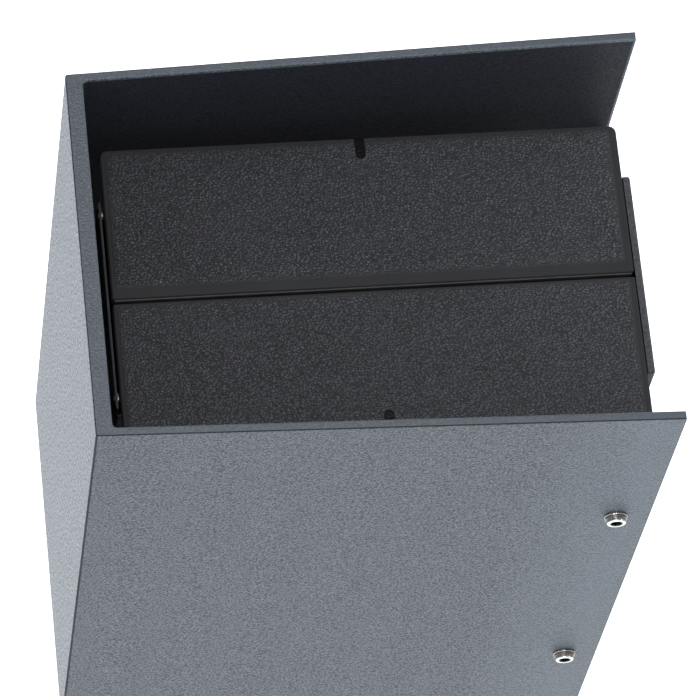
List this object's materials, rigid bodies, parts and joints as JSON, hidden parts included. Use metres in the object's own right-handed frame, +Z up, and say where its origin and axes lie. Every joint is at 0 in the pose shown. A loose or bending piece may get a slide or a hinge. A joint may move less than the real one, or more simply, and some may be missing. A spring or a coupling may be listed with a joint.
{
  "type": "parcel drop box",
  "caption": "Wall-hung steel parcel drop box: open-topped cover, twin tipping flaps below the rim, a bin and a lockable floor door.",
  "frame": {"origin": "centre of the footprint, level with the cover's bottom edge", "axes": "+X to the right seen from the front, +Y towards the wall, +Z up"},
  "size_m": [0.2896, 0.38, 0.55],
  "materials": {
    "cover_powder_coat": "fine-textured anthracite grey powder coat",
    "liner_powder_coat": "fine-textured dark grey powder coat",
    "inner_powder_coat": "satin dark grey powder coat",
    "flap_powder_coat": "coarse-grained black powder coat",
    "stainless_steel": "turned stainless steel",
    "zinc_steel": "zinc-plated steel",
    "spring_steel": "phosphated spring steel",
    "blackened_steel": "black-oxide steel",
    "chromed_metal": "bright nickel plating",
    "rubber": "matt black rubber",
    "bush_plastic": "black moulded nylon"
  },
  "bodies": {
    "housing": {"back_plate": "inner_powder_coat", "bin_rivets": "zinc_steel", "bin_walls": "inner_powder_coat", "bracket_lower_left": "zinc_steel", "bracket_lower_right": "zinc_steel", "bracket_upper_left": "zinc_steel", "bracket_upper_right": "zinc_steel", "bracket_rivets": "zinc_steel", "buffer_strip_left": "rubber", "buffer_strip_right": "rubber", "cover_bolts": "stainless_steel", "cover_liner": "liner_powder_coat", "cover_nuts": "zinc_steel", "cover_shell": "cover_powder_coat", "cover_spacers": "zinc_steel", "cover_spring_washers": "stainless_steel", "cover_washers": "stainless_steel", "hinge_leaves_fixed": "zinc_steel", "hinge_pins": "stainless_steel", "hinge_rivets_fixed": "zinc_steel", "lock_strike": "zinc_steel", "rod_clip_left": "spring_steel", "rod_clip_right": "spring_steel", "rod_left": "blackened_steel", "rod_right": "blackened_steel", "strike_rivets": "zinc_steel"},
    "left_flap": {"flap_left": "flap_powder_coat", "flap_bushes_left": "bush_plastic", "counterweight_left": "blackened_steel", "trim_weight_left": "blackened_steel", "trim_screw_left": "blackened_steel", "flap_lip": "rubber"},
    "right_flap": {"flap_right": "flap_powder_coat", "flap_bushes_right": "bush_plastic", "counterweight_right": "blackened_steel", "trim_weight_right": "blackened_steel", "trim_screw_right": "blackened_steel"},
    "door": {"floor_door": "inner_powder_coat", "door_gasket": "rubber", "hinge_leaves_door": "zinc_steel", "hinge_rivets_door": "zinc_steel", "lock_barrel": "chromed_metal", "lock_nut": "zinc_steel"},
    "lock": {"lock_plug": "chromed_metal", "lock_cam": "zinc_steel", "lock_cam_screw": "zinc_steel"}
  },
  "joints": [
    {"name": "left_flap_hinge", "type": "hinge", "parent": "housing", "child": "left_flap", "pos_m": [-0.06614, 0.00975, 0.459], "axis": [0, 1, 0], "range_deg": [0, 65]},
    {"name": "right_flap_hinge", "type": "hinge", "parent": "housing", "child": "right_flap", "pos_m": [0.06614, 0.00975, 0.459], "axis": [0, -1, 0], "range_deg": [0, 65]},
    {"name": "door_hinge", "type": "hinge", "parent": "housing", "child": "door", "pos_m": [0, 0.1847, 0.019], "axis": [1, 0, 0], "range_deg": [0, 85]},
    {"name": "lock_turn", "type": "hinge", "parent": "door", "child": "lock", "pos_m": [0, -0.14, 0.033], "axis": [0, 0, -1], "range_deg": [0, 90]}
  ]
}
